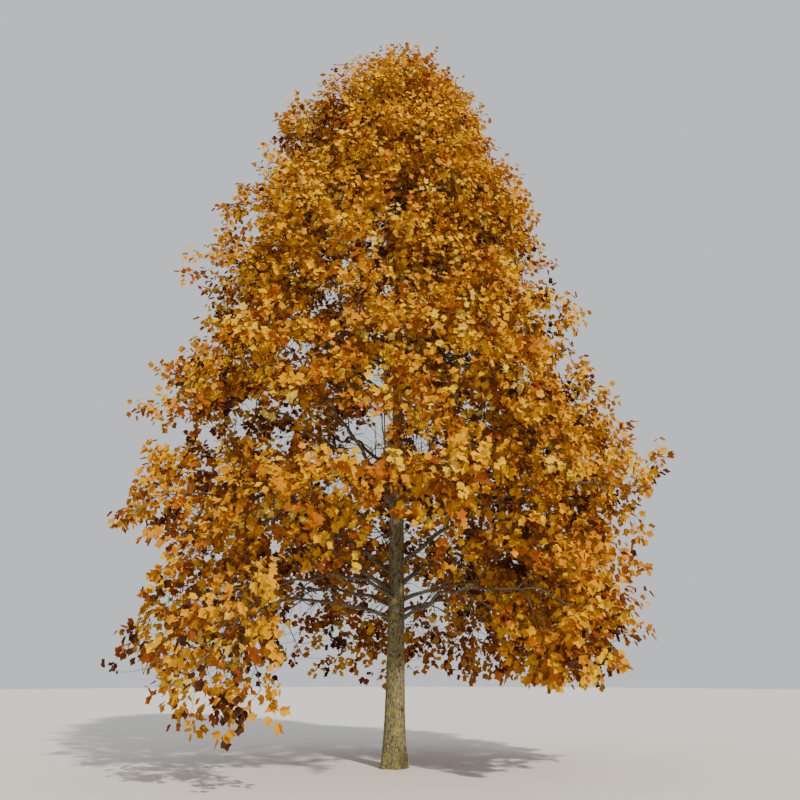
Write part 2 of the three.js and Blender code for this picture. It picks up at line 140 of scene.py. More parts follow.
# Rows of heading, height, share outwards, and reach in degrees and upwards
CROWN_SWELLS = [
    (180, 10.4, 0.15, 50, 3.0),
    (180, 3.8, 0.04, 60, 3.5),
    (0, 9.7, -0.13, 50, 1.7),
    (0, 5.2, 0.11, 45, 1.3),
    (335, 1.9, -0.07, 45, 1.5),
    (180, 6.6, 0.09, 40, 1.0),
    (180, 11.6, 0.15, 50, 0.8),
]
DROOP = Values(heading=229, drop=0.8, spread=27)


def turn_between(one, other):
    """How far apart two headings are, in degrees."""
    return np.abs((one - other + 540) % 360 - 180)


def bump(distance, spread):
    return np.exp(-((distance / spread) ** 2))


def heading_of(points):
    return np.degrees(np.arctan2(points[:, 1], points[:, 0]))


def crown_radius(height, heading):
    up = np.clip((height - WIDEST_HEIGHT) / (TREE_HEIGHT - WIDEST_HEIGHT), 0, 1)
    radius = CROWN_RADIUS * (1 - up ** CROWN_ROUNDNESS) ** CROWN_POINT
    for side, at, out, wide, tall in CROWN_SWELLS:
        near = bump(turn_between(heading, side), wide)
        radius = radius * (1 + out * near * bump(height - at, tall))
    return radius


def droop_at(heading):
    """How much lower the limbs and leaves hang at a heading than elsewhere."""
    return DROOP.drop * bump(turn_between(heading, DROOP.heading), DROOP.spread)


print("crown radius at 4, 8 and 12 m:", crown_radius(np.array([4, 8, 12]), 0).round(2))

# %% [markdown]
# ## The trunk's line and girth
#
# The trunk leans a little to the right and sways, and its foot flares into the first swell of its
# roots. Its thickness falls almost evenly to a tip thinner than a wrist, where the leader goes on.

# %% Trunk axis and radius
TRUNK_TOP = float(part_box("trunk")[1].z)
TRUNK_TIP_RADIUS = 0.024
TRUNK_GIRTH = 0.155
TRUNK_TAPER = 1.15
FLARE_RADIUS = 0.060
FLARE_HEIGHT = 0.43
FLARE_LOBES = 5
FLARE_LOBE_SHARE = 0.09
TRUNK_LEAN = Values(across=0.07, over=2.6, sway=0.03, sway_length=5.2)


def trunk_axis(height):
    height = np.asarray(height, float)
    across = TRUNK_LEAN.across * (1 - np.exp(-height / TRUNK_LEAN.over))
    sway = TRUNK_LEAN.sway * np.sin(2 * np.pi * height / TRUNK_LEAN.sway_length)
    return np.stack([across, sway, height], axis=-1)


def trunk_radius(height):
    rest = 1 - np.clip(np.asarray(height, float) / TRUNK_TOP, 0, 1)
    return (TRUNK_TIP_RADIUS + TRUNK_GIRTH * rest ** TRUNK_TAPER
            + FLARE_RADIUS * np.exp(-np.asarray(height, float) / FLARE_HEIGHT))


print("trunk thickness at breast height:", round(float(2 * trunk_radius(1.35)), 3))

# %% [markdown]
# ## The limbs
#
# Limbs leave the trunk in tiers, lower ones nearly level and upper ones steeper. Each limb is one
# curve that ends just inside the crown's edge, and each has a space of its own, shaped like an egg,
# for its mass of foliage. The lowest tier is open at the front, where the trunk shows. Real limbs
# are never as smooth as a curve in a computer, so slow noise moves each a few centimetres off its
# line between its two ends. Blender's vector noise starts from the clock, so it gets a seed first,
# and the tree comes out the same each time.

# %% Limb curves and the spaces of their masses
# first and sweep are headings, leave and lift are slopes in degrees, and all sizes are in metres
TIER_COLUMNS = ("name", "count", "first", "sweep", "foot", "rise", "tip",
                "leave", "lift", "tall", "girth", "slack", "bough")
TIERS = [Values(**dict(zip(TIER_COLUMNS, row))) for row in (
    ("skirt", 7, 309, 284, 2.35, 0.56, 1.9, 22, -15, 1.4, 0.035, 1.15, True),
    ("low", 6, 268, 300, 2.75, 0.9, 4.7, 34, 5, 1.85, 0.041, 1.25, True),
    ("middle", 6, 300, 300, 4.25, 0.85, 7.05, 38, 15, 1.9, 0.039, 1.15, True),
    ("shoulder", 5, 252, 288, 6.1, 0.7, 9.35, 42, 25, 1.9, 0.034, 1.1, True),
    ("upper", 5, 288, 288, 7.9, 0.65, 11.4, 45, 35, 1.8, 0.027, 1.1, False),
    ("high", 4, 270, 270, 9.8, 0.55, 13.15, 50, 45, 1.7, 0.022, 1.3, False),
)]
STAGGER = 0.33
LEADER_LEAN = 0.12
TIP_BACK = 0.748
MASS_DEPTH = Values(least=0.6, share=0.25)
MASS_WIDTH = 1.5
MASS_MIDDLE = 0.72
TOP_MASS = Values(wide=1.35, tall=1.2, slack=1.5)
LIMB_WANDER = 0.15
WANDER_LENGTH = 0.5
WANDER_SEED = 2
GOLDEN_SHARE = (math.sqrt(5) - 1) / 2
GOLDEN_ANGLE = math.pi * (3 - math.sqrt(5))
UP = np.array([0.0, 0.0, 1.0])


def unit(vectors):
    return vectors / np.linalg.norm(vectors, axis=-1, keepdims=True)


def outward(heading, lift):
    level = math.cos(math.radians(lift))
    turn = math.radians(heading)
    return np.array([level * math.cos(turn), level * math.sin(turn), math.sin(math.radians(lift))])


def make_limb(tier, index):
    heading = (tier.first + tier.sweep * index / (tier.count - 1)) % 360
    droop = droop_at(heading) if tier.name == "skirt" else 0
    tip_height = tier.tip - droop + STAGGER * (-1 if index % 2 else 1)
    reach = crown_radius(tip_height, heading)
    foot = trunk_axis(tier.foot + tier.rise * ((index * GOLDEN_SHARE) % 1))
    edge = outward(heading, 0) * reach + UP * tip_height
    depth = MASS_DEPTH.least + MASS_DEPTH.share * reach
    out = outward(heading, tier.lift)
    side = unit(np.cross(UP, out))
    bend = outward(heading, 0) * reach / 2
    bend[2] = foot[2] + reach / 2 * math.tan(math.radians(tier.leave))
    width = MASS_WIDTH * math.pi * MASS_MIDDLE * reach / tier.count
    return Values(
        name=f"{tier.name}_{index + 1}", girth=tier.girth, bough=tier.bough, slack=tier.slack,
        foot=foot, bend=bend, tip=edge - out * TIP_BACK, middle=edge - out * depth,
        ways=np.stack([out, side, np.cross(out, side)]), size=np.array([depth, width, tier.tall]))


def make_leader():
    foot = trunk_axis(TRUNK_TOP)
    top = np.array([foot[0] + LEADER_LEAN, foot[1], TREE_HEIGHT])
    tip = top - UP * TIP_BACK
    side = np.array([0.0, 1.0, 0.0])
    return Values(
        name="leader", girth=TRUNK_TIP_RADIUS, bough=False, slack=TOP_MASS.slack,
        foot=foot, bend=(foot + tip) / 2, tip=tip, middle=top - UP * TOP_MASS.tall,
        ways=np.stack([UP, side, np.cross(UP, side)]),
        size=np.array([TOP_MASS.tall, TOP_MASS.wide, TOP_MASS.wide]))


def limb_point(limb, share):
    """Points on a limb at shares of the way along it. It strays from its curve between its ends."""
    share = np.asarray(share, float)[:, None]
    rest = 1 - share
    curve = rest ** 2 * limb.foot + 2 * share * rest * limb.bend + share ** 2 * limb.tip
    stray = np.array([noise.noise_vector(Vector(point / WANDER_LENGTH)) for point in curve])
    return curve + stray * LIMB_WANDER * 4 * share * rest


noise.seed_set(WANDER_SEED)
limbs = [make_limb(tier, index) for tier in TIERS for index in range(tier.count)]
limbs.append(make_leader())
spans = [np.linalg.norm(limb.tip - limb.foot) for limb in limbs]
print(len(limbs), "limbs, the longest", max(spans).round(2))

# %% [markdown]
# ## Colours and materials
#
# Colours are written as the sRGB hex values that one would pick from a swatch. Blender's shaders
# work in linear light, so one function turns a hex value into linear numbers. A second small
# function adds a node, sets it up, links it and gives back one of its outputs, which keeps each
# material short enough to read. A Mix node has several sockets of each name, one for each kind of
# value, so those for colours go by their numbers.

# %% Colour and node helpers
MIX_SHARE, MIX_FIRST, MIX_SECOND, MIX_RESULT = 0, 6, 7, 2


def linear(hex_colour):
    """An sRGB hex colour as linear red, green, blue and alpha."""
    parts = [int(hex_colour[i:i + 2], 16) / 255 for i in (1, 3, 5)]
    bright = [((part + 0.055) / 1.055) ** 2.4 for part in parts]
    return [part / 12.92 if part <= 0.04045 else power for part, power in zip(parts, bright)] + [1.0]


def set_inputs(node, inputs):
    """Sets a node's inputs, each to a number, a colour or another node's output."""
    for name, value in inputs.items():
        if isinstance(value, bpy.types.NodeSocket):
            node.id_data.links.new(value, node.inputs[name])
        else:
            node.inputs[name].default_value = value


def add_node(material, kind, output, inputs, **settings):
    """Adds a node of a kind to a material and gives back one of its outputs."""
    node = material.node_tree.nodes.new("ShaderNode" + kind)
    for name, value in settings.items():
        setattr(node, name, value)
    set_inputs(node, inputs)
    return node.outputs[output]


def set_stops(ramp_node, stops):
    """Gives a colour ramp its stops, as (place, hex colour)."""
    elements = ramp_node.color_ramp.elements
    while len(elements) < len(stops):
        elements.new(0.5)
    for element, (place, colour) in zip(elements, stops):
        element.position = place
        element.color = linear(colour)


def new_material(name):
    material = bpy.data.materials.new(name)
    material.use_nodes = True
    return material, material.node_tree.nodes["Principled BSDF"]


print("mid grey in linear light:", round(linear("#808080")[0], 3))

# %% [markdown]
# ## Bark of the trunk
#
# The bark of a young tulip tree is grey-brown cork, split by fine upright furrows as the trunk
# thickens. It scatters light like unglazed clay, so it is rough all over with almost no sheen.
# Patches of yellow-green lichen sit on the ridges, and the foot is greener, where it stays damp.
# The pattern reads Object coordinates, squeezed along the height, so the furrows run upwards.

# %% Furrowed bark material
MM = 0.001
FURROW_SPACING = 22 * MM
FURROW_STRETCH = 0.42
LICHEN_PATCH = 90 * MM
DAMP_HEIGHT = 0.7
BARK_ROUGHNESS = 0.92
KNOT = Values(place=(0.155, -0.085, 0.91), radius=0.028, swell=0.5, fades_by=1.8, darkness=0.85)


def furrowed_bark():
    material, surface = new_material("furrowed_tulip_tree_bark")
    place = add_node(material, "TexCoord", "Object", {})
    upright = add_node(material, "Mapping", "Vector", {"Vector": place, "Scale": (1, 1, FURROW_STRETCH)})
    furrows = add_node(material, "TexNoise", "Fac", {
        "Vector": upright, "Scale": 1 / FURROW_SPACING, "Detail": 5.0, "Roughness": 0.62,
        "Distortion": 0.35})
    cork = add_node(material, "ValToRGB", "Color", {"Fac": furrows})
    set_stops(cork.node, [(0.34, "#2a2619"), (0.46, "#5a5239"), (0.56, "#7f7554"), (0.7, "#a39870")])
    cloud = add_node(material, "TexNoise", "Fac", {
        "Vector": place, "Scale": 1 / LICHEN_PATCH, "Detail": 3.0, "Roughness": 0.55})
    lichen = add_node(material, "MapRange", "Result", {
        "Value": cloud, "From Min": 0.53, "From Max": 0.64, "To Max": 0.65})
    spotted = add_node(material, "Mix", MIX_RESULT, {
        MIX_SHARE: lichen, MIX_FIRST: cork, MIX_SECOND: linear("#8a8634")}, data_type="RGBA")
    height = add_node(material, "SeparateXYZ", "Z", {0: place})
    damp = add_node(material, "MapRange", "Result", {
        "Value": height, "From Min": 0.0, "From Max": DAMP_HEIGHT, "To Min": 0.3, "To Max": 0.0})
    greened = add_node(material, "Mix", MIX_RESULT, {
        MIX_SHARE: damp, MIX_FIRST: spotted, MIX_SECOND: linear("#9fae6a")},
        data_type="RGBA", blend_type="MULTIPLY")
    from_knot = add_node(material, "VectorMath", "Value", {0: place, 1: KNOT.place}, operation="DISTANCE")
    knot = add_node(material, "MapRange", "Result", {
        "Value": from_knot, "From Min": KNOT.radius, "From Max": KNOT.fades_by * KNOT.radius,
        "To Min": KNOT.darkness, "To Max": 0.0})
    knotted = add_node(material, "Mix", MIX_RESULT, {
        MIX_SHARE: knot, MIX_FIRST: greened, MIX_SECOND: linear("#2b2218")}, data_type="RGBA")
    bumps = add_node(material, "Bump", "Normal", {"Height": furrows, "Strength": 0.55, "Distance": 6 * MM})
    set_inputs(surface, {"Base Color": knotted, "Normal": bumps, "Roughness": BARK_ROUGHNESS})
    return material


trunk_bark = furrowed_bark()
print("bark furrows", FURROW_SPACING, "m apart")

# %% [markdown]
# ## Bark of the limbs and twigs
#
# Limbs are too young to furrow. Their bark is smooth grey-brown with pale wrinkles round it, and a
# twig's bark is browner and glossier. The limb bark's colours are kept dark, partly the limbs' own
# tone and partly painted shade, as the limbs stand in the crown's shade. On a limb the pattern has
# to follow the surface, so it reads the limb's own UV map, which runs round it and along it in
# metres.

# %% Smooth bark materials
WRINKLE_SPACING = 14 * MM
WRINKLE_STRETCH = 0.35
WRINKLES_SHOW = 0.5
MOTTLE = 35 * MM
LIMB_ROUGHNESS = 0.85
TWIG_ROUGHNESS = 0.6


def smooth_bark():
    material, surface = new_material("smooth_limb_bark")
    place = add_node(material, "TexCoord", "UV", {})
    round_it = add_node(material, "Mapping", "Vector", {"Vector": place, "Scale": (WRINKLE_STRETCH, 1, 1)})
    wrinkles = add_node(material, "TexNoise", "Fac", {
        "Vector": round_it, "Scale": 1 / WRINKLE_SPACING, "Detail": 4.0, "Roughness": 0.6})
    mottle = add_node(material, "TexNoise", "Fac", {"Vector": place, "Scale": 1 / MOTTLE, "Detail": 3.0})
    both = add_node(material, "Math", "Value", {0: wrinkles, 1: WRINKLES_SHOW, 2: mottle},
                    operation="MULTIPLY_ADD")
    skin = add_node(material, "ValToRGB", "Color", {"Fac": both})
    # Dark stops: partly the limbs' own bark tone and partly painted shade for their place inside the crown
    set_stops(skin.node, [(0.5, "#28231a"), (0.68, "#4a4233"), (0.82, "#6c6451"), (0.95, "#8e866f")])
    bumps = add_node(material, "Bump", "Normal", {"Height": wrinkles, "Strength": 0.4, "Distance": 2 * MM})
    set_inputs(surface, {"Base Color": skin, "Normal": bumps, "Roughness": LIMB_ROUGHNESS})
    return material


def twig_bark():
    material, surface = new_material("brown_twig_bark")
    place = add_node(material, "TexCoord", "Object", {})
    mottle = add_node(material, "TexNoise", "Fac", {"Vector": place, "Scale": 1 / MOTTLE, "Detail": 2.0})
    skin = add_node(material, "ValToRGB", "Color", {"Fac": mottle})
    set_stops(skin.node, [(0.38, "#33261a"), (0.62, "#5d4b38")])
    set_inputs(surface, {"Base Color": skin, "Roughness": TWIG_ROUGHNESS})
    return material


limb_bark = smooth_bark()
young_bark = twig_bark()
print("limb and twig bark made")

# %% [markdown]
# ## Modelling the trunk
#
# The trunk could be a turned profile, but bark has relief of its own, so the surface needs a fine
# grid that can be pushed in and out. One grid operator makes that surface flat. Rolling it round the
# trunk's line, merging its seam and filling its ends makes a closed tube. The ridges come from
# upright noise, and every fifth part of the foot swells into a root.

# %% Tube from a grid
HALF_GRID = 0.5
SAME_POINT = 1e-6


def tube(name, sides, rings, place_on):
    """A closed tube. place_on gives its points and its map for turns and shares of the way along."""
    shape = bmesh.new()
    bmesh.ops.create_grid(shape, x_segments=sides, y_segments=rings, size=HALF_GRID)
    mesh = bpy.data.meshes.new(name)
    shape.to_mesh(mesh)
    flat = np.zeros(len(mesh.vertices) * 3)
    mesh.vertices.foreach_get("co", flat)
    flat = flat.reshape(-1, 3)
    turn = (flat[:, 0] + HALF_GRID) * 2 * np.pi
    share = flat[:, 1] + HALF_GRID
    points, around, run = place_on(turn, share)
    mesh.vertices.foreach_set("co", points.ravel())
    shape.clear()
    shape.from_mesh(mesh)
    shape.verts.ensure_lookup_table()
    skin_map = shape.loops.layers.uv.new("along_the_bark")
    for face in shape.faces:
        for loop in face.loops:
            loop[skin_map].uv = (around[loop.vert.index], run[loop.vert.index])
    bmesh.ops.remove_doubles(shape, verts=shape.verts, dist=SAME_POINT)
    bmesh.ops.holes_fill(shape, edges=[edge for edge in shape.edges if edge.is_boundary], sides=sides + 1)
    bmesh.ops.recalc_face_normals(shape, faces=shape.faces)
    for face in shape.faces:
        face.smooth = True
    shape.to_mesh(mesh)
    shape.free()
    return mesh


def add_piece(name, mesh, material, slot, *nodes):
    """A piece that rides on the tree and stands for its nodes."""
    mesh.materials.append(material)
    piece = add_object(name, mesh)
    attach(piece, "root")
    if nodes:
        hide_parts(*nodes)
    return piece


print("points count as one within", SAME_POINT, "m")

# %% Trunk with its bark relief
TRUNK_SIDES = 128
TRUNK_RINGS = 340
RING_CROWDING = 1.7
RIDGE_HEIGHT = 5 * MM
RIDGE_NOISE = dict(H=0.6, lacunarity=2.1, octaves=3)
RIDGE_FADE = 7.0
CUT_EDGE = 0.02


def ridges(points, spacing, stretch):
    """Upright ridges and furrows, from -1 to 1, at points on the bark."""
    squeeze = np.array([1, 1, stretch]) / spacing
    return np.array([noise.fractal(Vector(point), *RIDGE_NOISE.values()) for point in points * squeeze])


def trunk_points(turn, share):
    height = TRUNK_TOP * share ** RING_CROWDING
    lobes = 1 + FLARE_LOBE_SHARE * np.cos(FLARE_LOBES * turn) * np.exp(-height / FLARE_HEIGHT)
    round_it = np.stack([np.cos(turn), np.sin(turn), np.zeros_like(turn)], axis=1)
    radius = trunk_radius(height) * lobes
    smooth = trunk_axis(height) + round_it * radius[:, None]
    relief = RIDGE_HEIGHT * np.exp(-height / RIDGE_FADE) * ridges(smooth, FURROW_SPACING, FURROW_STRETCH)
    off_knot = np.linalg.norm(smooth - np.array(KNOT.place), axis=1)
    lip = bump(off_knot, KNOT.radius) - bump(off_knot, KNOT.radius / 2)
    relief = relief + KNOT.swell * KNOT.radius * lip
    relief = relief * np.clip(height / CUT_EDGE, 0, 1)
    return smooth + round_it * relief[:, None], turn * TRUNK_GIRTH, height


trunk_mesh = tube("trunk_with_bark", TRUNK_SIDES, TRUNK_RINGS, trunk_points)
trunk = add_piece("trunk_with_bark", trunk_mesh, trunk_bark, "bark", "trunk")
print("trunk", len(trunk.data.polygons), "faces")

# %% [markdown]
# ## Modelling the limbs
#
# A limb is a long tube that starts inside the trunk and thins to its tip. Where it leaves the trunk
# it swells into a collar. The limbs are made one after another and joined into one piece.

# %% Limb tubes
LIMB_SIDES = 12
LIMB_RINGS = 48
LIMB_TAPER = 1.1
LIMB_TIP_RADIUS = 0.009
COLLAR = Values(swell=0.35, length=0.12)
LIMB_RELIEF = 2.5 * MM


def limb_radius(limb, share):
    return LIMB_TIP_RADIUS + (limb.girth - LIMB_TIP_RADIUS) * (1 - share) ** LIMB_TAPER


def limb_points(limb):
    """How to lay a tube along a limb, with the collar at its foot and its relief."""
    def place_on(turn, share):
        steps = np.linspace(0, 1, LIMB_RINGS + 1)
        line = limb_point(limb, steps)
        way = unit(np.gradient(line, axis=0))
        side = unit(np.cross(way, limb.ways[1] if limb.name != "leader" else UP + limb.ways[1]))
        over = np.cross(side, way)
        ring = np.rint(share * LIMB_RINGS).astype(int)
        run = np.concatenate([[0], np.cumsum(np.linalg.norm(np.diff(line, axis=0), axis=1))])
        clear = np.maximum(run - trunk_radius(limb.foot[2]), 0)
        collar = 1 + COLLAR.swell * np.exp(-clear / COLLAR.length)
        radius = (limb_radius(limb, steps) * collar)[ring]
        round_it = side[ring] * np.cos(turn)[:, None] + over[ring] * np.sin(turn)[:, None]
        smooth = line[ring] + round_it * radius[:, None]
        relief = LIMB_RELIEF * ridges(smooth, MOTTLE, 1) * radius / limb.girth
        return smooth + round_it * relief[:, None], turn * limb.girth, run[ring]
    return place_on


all_limbs = bmesh.new()
for limb in limbs:
    mesh = tube(limb.name, LIMB_SIDES, LIMB_RINGS, limb_points(limb))
    all_limbs.from_mesh(mesh)
    bpy.data.meshes.remove(mesh)
limb_mesh = bpy.data.meshes.new("limbs")
all_limbs.to_mesh(limb_mesh)
all_limbs.free()
bough_nodes = [name for name in sorted(frame["nodes"]) if name.startswith("bough_")]
boughs = add_piece("limbs", limb_mesh, limb_bark, "bark", *bough_nodes)
print("limbs", len(boughs.data.polygons), "faces, for", len(bough_nodes), "boughs")

# %% [markdown]
# ## The rule of growth
#
# A mass of foliage grows from its limb by one rule. Twigs fan out from the limb to even places on
# an egg, turned by the golden angle as leaves and twigs are in nature. The solids stop there. Here
# the same rule goes on: each twig's end has a smaller egg with a fan of finer twigs, and each of
# those carries shoots. The first fan draws its numbers in the same order as the solids do.

# %% Repeatable numbers and the fan
FIRST_SEED = 2300
TWIGS = 5
TWIG_NARROWEST = 42
TWIG_WIDEST = 118
TWIG_REACH = (0.7, 0.86)
TWIG_PLACES = (0.86, 0.55)


def seeded_numbers(seed):
    """Repeatable numbers between 0 and 1, the same ones that the solids are grown from."""
    low_bits = 0xFFFFFFFF
    state = seed
    while True:
        state = (state + 0x6D2B79F5) & low_bits
        bits = ((state ^ (state >> 15)) * (state | 1)) & low_bits
        bits ^= (bits + (bits ^ (bits >> 7)) * (bits | 61)) & low_bits
        yield (bits ^ (bits >> 14)) / (low_bits + 1)


def mix(start, end, share):
    return start + (end - start) * share


def fan(middle, ways, size, polar_from, polar_to, reach, phase):
    """Even places on an egg round its middle. ways are its axes and size is how far it goes along them."""
    count = len(reach)
    share = (np.arange(count) + 0.5) / count
    polar = np.arccos(mix(math.cos(math.radians(polar_from)), math.cos(math.radians(polar_to)), share))
    turn = np.arange(count) * GOLDEN_ANGLE + phase
    local = np.stack([np.cos(polar), np.cos(turn) * np.sin(polar), np.sin(turn) * np.sin(polar)], axis=1)
    return middle + (local * size * reach[:, None]) @ ways


def main_fan(index, limb):
    """Where the main twigs of a mass start and what they grow towards."""
    draw = seeded_numbers(FIRST_SEED + index)
    phase = next(draw) * 2 * math.pi
    reach = []
    for _ in range(TWIGS):
        reach.append(mix(*TWIG_REACH, next(draw)))
        next(draw)
    share = (np.arange(TWIGS) + 0.5) / TWIGS
    starts = limb_point(limb, mix(*TWIG_PLACES, share))
    ends = fan(limb.middle, limb.ways, limb.size, TWIG_NARROWEST, TWIG_WIDEST, np.array(reach), phase)
    return starts, ends


print("first main twig:", main_fan(0, limbs[0])[1][0].round(3))

# %% [markdown]
# ## Where foliage may grow
#
# A mass keeps to its egg and hands over to its neighbours halfway between them, with a little
# overlap so that no seam shows. The crown's edge is lumpy: it bulges where a branch got light and
# has bays between. Each lump or bay is a swell like those of the crown's radius, only smaller, and
# noise breaks the edge up into tufts. Nothing grows through the trunk.
#
# The photograph shows the sky through the crown in a dozen places. Each is an ellipse as seen from
# the camera. Clean holes would look punched, so noise makes the edges ragged and chance leaves
# single sprays in them. Round the larger ones lie hollows, where the foliage is thin, and so it is
# along the upper left edge. Low at the front the crown opens in an arch over the trunk and the inner
# limbs. A path for the sun's rays lets them reach the foot of the trunk, as in the photograph.

# %% Tests for a mass's own space
SPACE_OVERLAP = 0.22
LOWEST_LEAF = 1.35
TRUNK_CLEARANCE = 0.12
BOX_MARGIN = 0.04


def in_space(points, limb):
    away = points - limb.middle
    egg = np.sum((away @ limb.ways.T / limb.size) ** 2, axis=1)
    inside = (egg < limb.slack ** 2) & (points[:, 2] > LOWEST_LEAF - droop_at(heading_of(points)))
    for other in limbs:
        if other is not limb:
            between = other.middle - limb.middle
            span = np.linalg.norm(between)
            inside &= away @ between / span < span / 2 + SPACE_OVERLAP
    return inside


def in_box(points):
    low = lowest_corner - BOX_MARGIN
    high = highest_corner + BOX_MARGIN
    high[2] = highest_corner[2]
    return np.all((points > low) & (points < high), axis=1)


def off_the_trunk(points):
    centre = trunk_axis(points[:, 2])
    off = np.linalg.norm(points - centre, axis=1)
    return (off > trunk_radius(points[:, 2]) + TRUNK_CLEARANCE) | (points[:, 2] > TRUNK_TOP)


print("the first mass holds its own middle:", in_space(limbs[0].middle[None], limbs[0])[0])

# %% Openings in the crown
VIEWPOINT = np.array(CAMERA_PLACE)
# Rows of x, z, and reach sideways and upwards, on the upright plane through the trunk
SKY_GAPS = [
    (-0.62, 5.8, 0.46, 0.40), (-3.0, 6.05, 0.20, 0.30), (-1.1, 4.75, 0.22, 0.15),
    (-2.7, 6.5, 0.20, 0.15), (-1.95, 7.5, 0.15, 0.15), (-1.3, 8.65, 0.18, 0.15),
    (-0.35, 6.95, 0.25, 0.20), (-0.3, 4.0, 0.16, 0.18), (0.85, 4.0, 0.22, 0.15),
    (-2.15, 5.6, 0.28, 0.20), (0.64, 5.6, 0.42, 0.13), (1.7, 6.4, 0.16, 0.12),
]
HOLLOWS = [
    (-2.45, 6.15, 1.2, 0.45), (-0.95, 6.0, 0.65, 0.5), (-1.9, 7.5, 0.45, 0.3),
    (-1.3, 8.65, 0.4, 0.3), (0.05, 3.85, 0.35, 0.35),
]
THIN_EDGES = [(-3.75, 9.5, 0.55, 1.3), (-3.0, 10.6, 0.35, 0.6)]
SKY_OPEN = 0.93
HOLLOW_OPEN = Values(front=0.88, back=0.45)
EDGE_OPEN = 0.5
GAP_RAGGED = 0.9
GAP_GRAIN = 0.35
GAP_SOFTNESS = 0.5
ARCH = Values(x=-0.15, half_width=1.85, top=3.5, spring=2.3, softness=0.6, behind=0.3,
              front_open=0.96, back_open=0.5)
SUN_PATH = Values(half_width=0.5, softness=0.3, top=1.3, dappled_over=1.4, most_open=0.9)
GROWTH_SEED = 33
chance = np.random.default_rng(GROWTH_SEED)


def seen_at(points):
    """Where lines of sight through the points meet the upright plane through the trunk."""
    share = -VIEWPOINT[1] / (points[:, 1] - VIEWPOINT[1])
    seen = VIEWPOINT + (points - VIEWPOINT) * share[:, None]
    return seen[:, 0], seen[:, 2]


def slow_noise(points, grain):
    """A smooth noise about 0 whose patches are about as large as the grain."""
    return np.array([noise.noise(Vector(point)) for point in points / grain])


def gap_openness(points, edge):
    x, z = seen_at(points)
    openness = np.zeros(len(points))
    hollow = np.where(points[:, 1] < 0, HOLLOW_OPEN.front, HOLLOW_OPEN.back)
    for gaps, most in ((SKY_GAPS, SKY_OPEN), (HOLLOWS, hollow), (THIN_EDGES, EDGE_OPEN)):
        for gap_x, gap_z, wide, tall in gaps:
            off = np.hypot((x - gap_x) / wide, (z - gap_z) / tall)
            openness = np.maximum(openness, most * np.clip((edge - off) / GAP_SOFTNESS + 1, 0, 1))
    return openness


def arch_openness(points, edge):
    x, z = seen_at(points)
    across = np.abs(x - ARCH.x) / ARCH.half_width
    rise = (ARCH.top - ARCH.spring) * np.sqrt(np.clip(1 - across ** 2, 0, 1))
    below = (ARCH.spring + rise - z) / ARCH.softness
    most = np.where(points[:, 1] < ARCH.behind, ARCH.front_open, ARCH.back_open) * (across < 1)
    return most * np.clip(below + edge / 2, 0, 1)


def sun_path_openness(points, edge):
    lit = points - to_sun * (points[:, 1] / to_sun[1])[:, None]
    inside = np.clip((SUN_PATH.half_width - np.abs(lit[:, 0])) / SUN_PATH.softness + 1, 0, 1)
    inside = inside * np.clip((SUN_PATH.top - lit[:, 2]) / SUN_PATH.dappled_over + edge, 0, 1)
    return SUN_PATH.most_open * (inside * (points[:, 1] < 0))


def in_opening(points):
    """Whether points are in an opening, by chance near its edges."""
    edge = 1 + GAP_RAGGED * slow_noise(points, GAP_GRAIN)
    openness = [test(points, edge) for test in (gap_openness, arch_openness, sun_path_openness)]
    return chance.random(len(points)) < np.max(openness, axis=0)


print("gaps for the sky:", len(SKY_GAPS))

# %% The crown's lumpy edge
EDGE_SHARE = 0.9
EDGE_WAVES = Values(out=0.05, around=(4, 3), upwards=(1.9, -1.3))
EDGE_TUFTS = 0.15
TUFT_SIZE = 0.6
LUMP_SPREAD = 50
# For two headings, rows of height, share outwards and reach upwards
LUMPS_AND_BAYS = {
    345: [
        (14.1, -0.20, 0.3), (12.3, -0.09, 0.7), (11.4, -0.13, 0.3), (10.8, 0.06, 0.25),
        (9.65, 0.20, 0.3), (8.85, -0.36, 0.4), (8.25, -0.16, 0.25), (7.85, 0.12, 0.22),
        (7.02, -0.36, 0.3), (5.6, 0.34, 0.25), (4.9, 0.18, 0.35), (4.2, -0.12, 0.25),
        (1.3, -0.14, 0.5),
    ],
    195: [
        (14.3, 0.50, 0.2), (13.9, 0.45, 0.3), (13.2, -0.50, 0.3), (12.7, 0.20, 0.3),
        (11.35, -0.47, 0.55), (10.35, 0.11, 0.3), (9.3, 0.15, 0.35), (8.7, 0.09, 0.6),
        (8.25, 0.15, 0.3), (7.45, -0.26, 0.25), (6.6, 0.15, 0.4), (6.1, 0.18, 0.35),
        (4.4, 0.05, 0.3), (2.9, 0.18, 1.2),
    ],
}


def crown_edge(height, heading):
    """The radius that most leaves keep to, with its lumps and bays."""
    turn = np.radians(heading)
    waves = [across * turn + up * height for across, up in zip(EDGE_WAVES.around, EDGE_WAVES.upwards)]
    edge = EDGE_SHARE + EDGE_WAVES.out * np.sin(waves[0]) * np.cos(waves[1])
    for side, lumps in LUMPS_AND_BAYS.items():
        near = bump(turn_between(heading, side), LUMP_SPREAD)
        for at, out, tall in lumps:
            edge = edge + out * near * bump(height - at, tall)
    return crown_radius(height, heading) * edge


def in_crown(points, beyond):
    """Whether points are inside the crown's edge, or less than some way beyond it."""
    tufts = 1 + EDGE_TUFTS * slow_noise(points, TUFT_SIZE)
    edge = crown_edge(points[:, 2], heading_of(points)) * tufts
    return np.hypot(points[:, 0], points[:, 1]) < edge + beyond


def free_place(points, limb, beyond):
    return (in_space(points, limb) & in_box(points) & in_crown(points, beyond)
            & off_the_trunk(points) & ~in_opening(points))


print("crown's edge at 8 m, left and right:", crown_edge(8, np.array([180, 0])).round(2))

# %% [markdown]
# ## Twigs
#
# First the main twigs, then the fine ones. A twig that would leave its mass is tried shorter, and
# left out when even the shortest doesn't fit. A straight twig looks like wire, so each bows a
# little to one side, and whatever grows on it starts from its bowed line. The inner half of a bough
# stands in the shade. It carries only a few thin twigs, most of them bare.

# %% Directions and bows
TWIG_BOW = 0.04
OFF_UPRIGHT = np.array([0.01, 0.0, 1.0])


